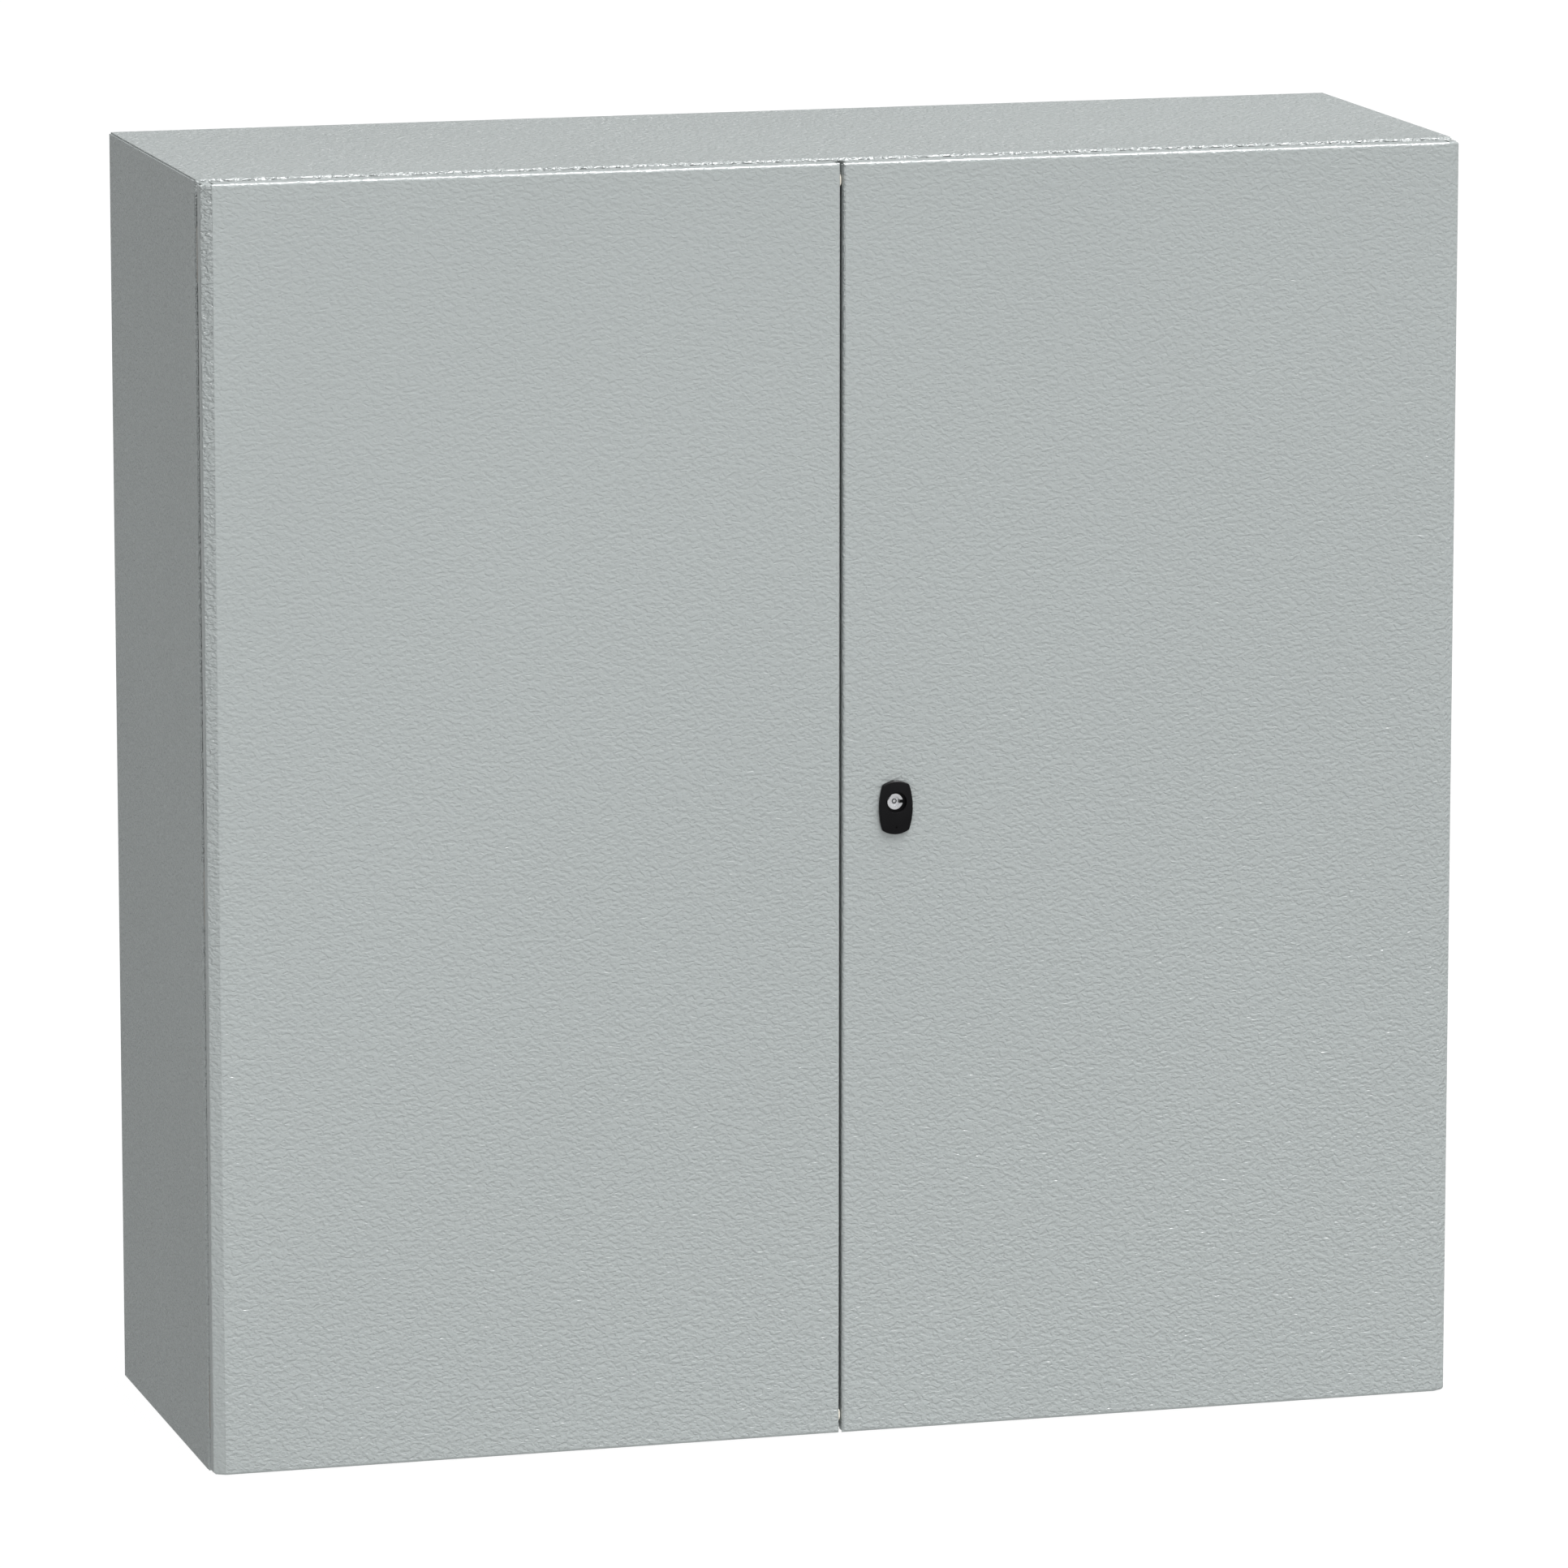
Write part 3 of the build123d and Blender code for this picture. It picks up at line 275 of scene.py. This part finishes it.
def plated_steel(name, colour, roughness=0.34, warmth=0.03):
    """Zinc-plated steel: brushed, slightly clouded, brighter along its edges."""
    steel = Surface(name, Metallic=1.0)
    clouds = steel.noise(38.0, detail=3.0)
    brush = steel.noise(420.0, detail=2.0, place=steel.stretched((0.06, 1.0, 1.0)))
    cool = tone(colour, 0.92)
    red, green, blue = colour
    warm = tone((red * (1 + warmth), green * (1 + warmth / 3), blue * (1 - warmth)), 1.04)
    shade = steel.blend(steel.span(clouds, 0.0, 1.0, *COMMON), cool, warm)
    worn = steel.edges(0.4 * MM, 0.5)
    shade = steel.blend(worn, shade, tone(colour, 1.25))
    smeared = steel.math("MULTIPLY", clouds, brush)
    rough = steel.span(smeared, roughness - 0.08, roughness + 0.12, 0.12, 0.4)
    return steel.finish(shade, rough, [(brush, 0.02 * MM)])


def galvanised_sheet(name, colour):
    """Hot-dip galvanised sheet with its spangle of large crystals."""
    sheet = Surface(name, Metallic=1.0)
    crystals = sheet.cells(85.0, "Color")
    spangle = sheet.node("ShaderNodeSeparateColor", {"Color": crystals}).outputs["Red"]
    wear = sheet.noise(6.0, detail=3.0)
    shade = sheet.blend(spangle, tone(colour, 0.86), tone(colour, 1.1))
    shade = sheet.blend(sheet.span(wear, 0.0, 0.35, 0.4, 0.7), shade, tone(colour, 0.8))
    rough = sheet.span(spangle, 0.36, 0.52)
    return sheet.finish(shade, rough, [(spangle, 0.01 * MM), (sheet.noise(900.0), 0.01 * MM)])


def cast_zinc(name, colour, roughness=0.5):
    """Dull die-casting with a faintly pitted skin."""
    cast = Surface(name, Metallic=0.85)
    skin = cast.noise(700.0, detail=3.0)
    clouds = cast.noise(60.0, detail=2.0)
    shade = cast.blend(clouds, tone(colour, 0.86), tone(colour, 1.1))
    worn = cast.edges(0.4 * MM, 0.5)
    shade = cast.blend(worn, shade, tone(colour, 1.3))
    rough = cast.span(skin, roughness - 0.08, roughness + 0.08, *COMMON)
    return cast.finish(shade, rough, [(skin, 0.05 * MM)])


def brass(name, colour):
    """Turned brass, a little tarnished."""
    metal = Surface(name, Metallic=1.0)
    tarnish = metal.noise(140.0, detail=3.0)
    lathe = metal.noise(900.0, detail=1.0, place=metal.stretched((0.1, 1.0, 1.0)))
    shade = metal.blend(metal.span(tarnish, 0.0, 1.0, 0.35, 0.7), tone(colour), tone(colour, 0.6))
    rough = metal.span(tarnish, 0.22, 0.42, *COMMON)
    return metal.finish(shade, rough, [(lathe, 0.02 * MM)])


def moulded_plastic(name, colour, roughness=0.36):
    """Black moulded plastic with a fine spark-eroded grain and rubbed edges."""
    plastic = Surface(name, Specular_IOR_Level=0.12)
    grain = plastic.noise(1900.0, detail=2.0)
    smear = plastic.noise(70.0, detail=3.0)
    shade = plastic.blend(smear, tone(colour, 0.8), tone(colour, 1.5))
    rubbed = plastic.edges(0.5 * MM, 0.5)
    shade = plastic.blend(rubbed, shade, tone(colour, 2.5))
    rough = plastic.span(smear, roughness - 0.06, roughness + 0.08, *COMMON)
    return plastic.finish(shade, rough, [(grain, 0.03 * MM)])


def nickel(name, colour):
    """Dull nickel of the lock insert: turning marks, key scratches and bright rims."""
    metal = Surface(name, Metallic=0.9)
    scratches = metal.noise(1500.0, detail=2.0, place=metal.stretched((1.0, 1.0, 0.15)))
    clouds = metal.noise(300.0, detail=2.0)
    shade = metal.blend(clouds, tone(colour, 0.84), tone(colour, 1.05))
    rims = metal.edges(0.3 * MM, 0.6)
    shade = metal.blend(rims, shade, tone(colour, 1.3))
    rough = metal.span(scratches, 0.36, 0.50, *COMMON)
    return metal.finish(shade, rough, [(scratches, 0.03 * MM)])


def foam(name, colour, painted_pore_shade, pore_scale):
    """Foamed polyurethane: a soft open-pored skin, with painted shade darkening its pores."""
    soft = Surface(name, Specular_IOR_Level=0.25, Sheen_Weight=0.25, Sheen_Roughness=0.5)
    pores = soft.cells(pore_scale)
    lumps = soft.noise(pore_scale / 4, detail=3.0)
    # Painted shade: the colour darkens towards the middle of each sunken pore
    shade = soft.blend(soft.span(pores, 1.0, 0.0, 0.05, 0.45), tone(colour), tone(painted_pore_shade))
    shade = soft.blend(soft.span(lumps, 0.0, 0.5, 0.35, 0.7), shade, tone(colour, 0.9))
    rough = soft.span(lumps, 0.75, 0.95, *COMMON)
    return soft.finish(shade, rough, [(lumps, 0.35 * MM), (pores, 0.15 * MM)])


def rubber(name, colour):
    """Black sheet rubber with a dusty bloom."""
    sheet = Surface(name, Specular_IOR_Level=0.35)
    bloom = sheet.noise(45.0, detail=4.0)
    shade = sheet.blend(sheet.span(bloom, 0.0, 0.6, 0.4, 0.75), tone(colour), tone(colour, 2.6))
    rough = sheet.span(bloom, 0.6, 0.8, *COMMON)
    return sheet.finish(shade, rough, [(sheet.noise(1200.0), 0.05 * MM)])


def slot_materials():
    """One finish for each of the record's material slots."""
    black = (0.0035, 0.0035, 0.004)
    return {
        "cabinet_paint": powder_coat("cabinet_paint", BODY_PEEL_HEIGHT),
        "door_paint": powder_coat("door_paint", PEEL_HEIGHT, deeper_below=True),
        "channel_paint": powder_coat("channel_paint", CHANNEL_PEEL_HEIGHT),
        "gland_plate_steel": plated_steel("gland_plate_steel", (0.62, 0.63, 0.62)),
        "rail_zinc": plated_steel("rail_zinc", (0.60, 0.61, 0.61), 0.38),
        "case_zinc": plated_steel("case_zinc", (0.63, 0.64, 0.64), 0.36),
        "cam_zinc": plated_steel("cam_zinc", (0.62, 0.61, 0.56), 0.32, warmth=0.12),
        "rod_steel": plated_steel("rod_steel", (0.60, 0.61, 0.62), 0.3),
        "fixing_zinc": plated_steel("fixing_zinc", (0.66, 0.67, 0.68), 0.26),
        "pin_steel": plated_steel("pin_steel", (0.62, 0.62, 0.62), 0.22, warmth=0.0),
        "plate_galvanised": galvanised_sheet("plate_galvanised", (0.60, 0.62, 0.63)),
        "hinge_zinc": cast_zinc("hinge_zinc", (0.50, 0.49, 0.46)),
        "guide_zinc": cast_zinc("guide_zinc", (0.42, 0.42, 0.42), 0.55),
        "earth_brass": brass("earth_brass", (0.72, 0.55, 0.24)),
        "lock_black_plastic": moulded_plastic("lock_black_plastic", black),
        "lock_black_metal": moulded_plastic("lock_black_metal", black, 0.45),
        "guide_plastic": moulded_plastic("guide_plastic", (0.025, 0.025, 0.025), 0.5),
        "insert_metal": nickel("insert_metal", (0.86, 0.87, 0.89)),
        "gasket_foam": foam("gasket_foam", FOAM_TONE, FOAM_PAINTED_PORE_SHADE, 900.0),
        "pad_foam": foam("pad_foam", PAD_TONE, PAD_PAINTED_PORE_SHADE, 700.0),
        "flat_rubber": rubber("flat_rubber", (0.02, 0.02, 0.02)),
    }


MATERIALS = slot_materials()


def paint_frame():
    """Give every CAD node the finish of its slot."""
    for part in frame["record"]["subparts"]:
        mesh = frame["nodes"][part["node"]].data
        mesh.materials.clear()
        mesh.materials.append(MATERIALS[part["material_slot"]])


# Foam and rubber pieces

def signed_power(value, power):
    """Power of a value's size, with the value's own sign."""
    return math.copysign(abs(value) ** power, value)


def new_piece(name, vertices, faces, material):
    """Smooth mesh object with one material."""
    mesh = bpy.data.meshes.new(name)
    mesh.from_pydata(vertices, [], faces)
    mesh.materials.append(MATERIALS[material])
    mesh.polygons.foreach_set("use_smooth", [True] * len(mesh.polygons))
    mesh.validate()
    mesh.update()
    piece = bpy.data.objects.new(name, mesh)
    bpy.context.scene.collection.objects.link(piece)
    return piece


def filled(start, end):
    """Points along a straight run, closely enough spaced for a lively surface."""
    count = max(1, round((end - start).length / BEAD_SPACING))
    return [start.lerp(end, step / count) for step in range(count)]


def rounded_path(corners, closed, radius=CORNER_RADIUS):
    """Path through corners with an arc at each turn."""
    count = len(corners)
    marks = []
    for index, corner in enumerate(corners):
        if not closed and index in (0, count - 1):
            marks.append([corner])
            continue
        before = (corners[index - 1] - corner).normalized() * radius
        after = (corners[(index + 1) % count] - corner).normalized() * radius
        centre = corner + before + after
        turns = [math.pi / 2 * step / CORNER_STEPS for step in range(CORNER_STEPS + 1)]
        marks.append([centre - after * math.cos(a) - before * math.sin(a) for a in turns])
    path = []
    for index, arc in enumerate(marks):
        path += arc[:-1]
        following = marks[(index + 1) % count][0] if closed or index + 1 < count else None
        path += [arc[-1]] if following is None else filled(arc[-1], following)
    return path


def swept(path, section, closed):
    """Mesh of a section, given as (across, out) pairs, carried along a flat path in X and Z.

    Out is towards +Y for every section; open ends are closed with a fan.
    """
    vertices = []
    count = len(path)
    width = len(section)
    for index, point in enumerate(path):
        ahead = path[(index + 1) % count] if closed or index + 1 < count else point
        behind = path[index - 1] if closed or index > 0 else point
        along = (ahead - behind).normalized()
        across = Vector((along.z, 0.0, -along.x))
        vertices += [point + across * side + Vector((0.0, out, 0.0)) for side, out in section]
    faces = []
    for index in range(count if closed else count - 1):
        near = index * width
        far = (index + 1) % count * width
        for step in range(width):
            following = (step + 1) % width
            faces.append((near + step, near + following, far + following, far + step))
    if not closed:
        faces.append(tuple(range(width))[::-1])
        faces.append(tuple((count - 1) * width + step for step in range(width)))
    return vertices, faces


def bead_section(width, height):
    """Crowned foam bead: flat underneath with softly bellied sides."""
    section = []
    for step in range(BEAD_STEPS + 1):
        turn = math.pi * step / BEAD_STEPS
        side = signed_power(math.cos(turn), BEAD_SIDE_POWER)
        crown = signed_power(math.sin(turn), BEAD_CROWN_POWER)
        section.append((side * width / 2, height * crown))
    return section


def strip_section(width, height):
    """Clamped flat gasket: two flat faces with squeezed, bulging edges."""
    bulge = height / 2
    flat = width / 2 - bulge
    section = []
    for side, start in ((1, -math.pi / 2), (-1, math.pi / 2)):
        for step in range(BEAD_STEPS + 1):
            turn = start + math.pi * step / BEAD_STEPS
            section.append((side * flat + bulge * math.cos(turn), bulge + bulge * math.sin(turn)))
    return section


def door_gasket(side, closed):
    """Foamed bead on one door: a ring on the right, three sides on the left."""
    node = f"{side}_door_gasket"
    low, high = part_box(node)
    inset = GASKET_WIDTH / 2
    base = low.y + GASKET_BASE_GAP / 2
    left, right = low.x + inset, high.x - inset
    bottom, top = low.z + inset, high.z - inset
    if closed:
        corners = [(left, bottom), (right, bottom), (right, top), (left, top)]
    else:
        corners = [(high.x, bottom), (left, bottom), (left, top), (high.x, top)]
    points = [Vector((x, base, z)) for x, z in corners]
    section = bead_section(GASKET_WIDTH, high.y - low.y - GASKET_BASE_GAP)
    vertices, faces = swept(rounded_path(points, closed), section, closed)
    piece = new_piece(f"{side}_door_foam_seal", vertices, faces, "gasket_foam")
    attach(piece, f"{side}_door")
    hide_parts(node)


def gland_gasket(side):
    """Flat rubber gasket squeezed between one gland plate and the base."""
    node = f"{side}_gland_gasket"
    low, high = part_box(node)
    inset = FLAT_GASKET_WIDTH / 2
    left, right = low.x + inset, high.x - inset
    front, back = low.y + inset, high.y - inset
    corners = [(left, front), (right, front), (right, back), (left, back)]
    points = [Vector((x, 0.0, y)) for x, y in corners]
    path = rounded_path(points, True, FLAT_GASKET_CORNER)
    section = strip_section(FLAT_GASKET_WIDTH, high.z - low.z - GASKET_BASE_GAP)
    vertices, faces = swept(path, section, closed=True)
    base = low.z + GASKET_BASE_GAP / 2
    flat = [Vector((point.x, point.z, base + point.y)) for point in vertices]
    piece = new_piece(f"{side}_gland_seal", flat, [face[::-1] for face in faces], "flat_rubber")
    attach(piece, "body")
    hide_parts(node)


def pad_mesh(middle, height, reach, depth):
    """Half cushion that bulges towards +X from a flat, closed back."""
    vertices = []
    for ring in range(PAD_RINGS + 1):
        lean = math.pi / 2 * ring / PAD_RINGS
        out = reach * math.cos(lean) ** PAD_CROWN_POWER
        spread = math.sin(lean) ** PAD_SPREAD_POWER
        for segment in range(PAD_SEGMENTS):
            turn = 2 * math.pi * segment / PAD_SEGMENTS
            along = signed_power(math.cos(turn), PAD_DEPTH_POWER) * spread * depth
            up = signed_power(math.sin(turn), PAD_HEIGHT_POWER) * spread * height
            vertices.append(middle + Vector((out, along, up)))
    faces = []
    for ring in range(1, PAD_RINGS):
        for segment in range(PAD_SEGMENTS):
            near = ring * PAD_SEGMENTS
            far = near + PAD_SEGMENTS
            following = (segment + 1) % PAD_SEGMENTS
            faces.append((near + segment, far + segment, far + following, near + following))
    faces.append(tuple(PAD_SEGMENTS + segment for segment in range(PAD_SEGMENTS)))
    faces.append(tuple(PAD_RINGS * PAD_SEGMENTS + segment for segment in range(PAD_SEGMENTS))[::-1])
    return vertices, faces


def meeting_pads():
    """Cream foam pads on the left door's meeting edge."""
    low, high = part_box("meeting_edge_pads")
    vertices = []
    faces = []
    for level in (low.z + PAD_HALF_HEIGHT, high.z - PAD_HALF_HEIGHT):
        middle = Vector((low.x, (low.y + high.y) / 2, level))
        points, rings = pad_mesh(middle, PAD_HALF_HEIGHT, high.x - low.x, (high.y - low.y) / 2)
        offset = len(vertices)
        vertices += points
        faces += [tuple(offset + corner for corner in face) for face in rings]
    piece = new_piece("meeting_edge_foam", vertices, faces, "pad_foam")
    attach(piece, "left_door")
    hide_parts("meeting_edge_pads")


# Studio

def floor():
    """Plain white floor that glows softly, so no hard shadow shows on it."""
    bpy.ops.mesh.primitive_plane_add(size=FLOOR_SIZE, location=(0, 0, CAD_BOX[0][2] - FLOOR_DROP))
    ground = bpy.context.object
    ground.name = "floor"
    ground.visible_glossy = False
    glow = {"Emission_Color": (1.0, 1.0, 1.0, 1.0), "Emission_Strength": FLOOR_GLOW}
    surface = Surface("floor", Roughness=0.9, Specular_IOR_Level=0.0, **glow)
    mottle = surface.noise(0.8)
    shade = surface.blend(mottle, tone(FLOOR_TONE), tone(FLOOR_TONE, FLOOR_MOTTLE))
    ground.data.materials.append(surface.finish(shade))


def lamp(name, towards, strength, angle):
    """Distant studio lamp; a wider angle softens its shadows."""
    light = bpy.data.objects.new(name, bpy.data.lights.new(name, "SUN"))
    light.data.energy = strength
    light.data.angle = math.radians(angle)
    light.rotation_euler = Vector(towards).to_track_quat("Z", "Y").to_euler()
    bpy.context.scene.collection.objects.link(light)
    return light


def lamps():
    """Soft light from above the doors, and a small lamp that shows only as glints on the bends."""
    lamp("key_light", KEY_TOWARDS, KEY_STRENGTH, KEY_ANGLE)
    glint = lamp("glint_light", GLINT_TOWARDS, GLINT_STRENGTH, GLINT_ANGLE)
    glint.visible_diffuse = False


def sky():
    """White surround, brighter in front of the doors than behind them, and dim below the floor."""
    world = bpy.data.worlds.new("sky")
    world.use_nodes = True
    nodes = world.node_tree.nodes
    links = world.node_tree.links

    def ranged(value, **limits):
        """Value mapped from one range to another; limits not given are 0 and 1."""
        node = nodes.new("ShaderNodeMapRange")
        for limit, number in limits.items():
            node.inputs[limit.replace("_", " ")].default_value = number
        links.new(value, node.inputs["Value"])
        return node

    direction = nodes.new("ShaderNodeSeparateXYZ")
    links.new(nodes.new("ShaderNodeTexCoord").outputs["Generated"], direction.inputs["Vector"])
    behind = {"From_Min": -1.0, "From_Max": 0.0, "To_Min": SKY_IN_FRONT, "To_Max": SKY_BEHIND}
    around = ranged(direction.outputs["Y"], **behind)
    above = {"From_Min": SKY_DIM_TO, "From_Max": SKY_DIM_FROM, "To_Min": SKY_BELOW}
    upwards = ranged(direction.outputs["Z"], **above)
    level = nodes.new("ShaderNodeMath")
    level.operation = "MULTIPLY"
    links.new(around.outputs["Result"], level.inputs[0])
    links.new(upwards.outputs["Result"], level.inputs[1])
    seen = nodes.new("ShaderNodeLightPath").outputs["Is Camera Ray"]
    strength = ranged(seen, To_Max=SKY_SEEN)
    links.new(level.outputs["Value"], strength.inputs["To Min"])
    links.new(strength.outputs["Result"], nodes["Background"].inputs["Strength"])
    nodes["Background"].inputs["Color"].default_value = (1.0, 1.0, 1.0, 1.0)
    bpy.context.scene.world = world


def camera():
    """Long-lens camera above and to the left of the cabinet."""
    view = bpy.data.objects.new("camera", bpy.data.cameras.new("camera"))
    view.data.lens = CAMERA_LENS
    view.location = CAMERA_PLACE
    view.rotation_euler = (math.radians(CAMERA_TILT), 0.0, math.radians(CAMERA_TURN))
    bpy.context.scene.collection.objects.link(view)
    bpy.context.scene.camera = view
    bpy.context.scene.view_settings.view_transform = "Standard"


paint_frame()
door_gasket("left", closed=False)
door_gasket("right", closed=True)
meeting_pads()
gland_gasket("left")
gland_gasket("right")
floor()
lamps()
sky()
camera()
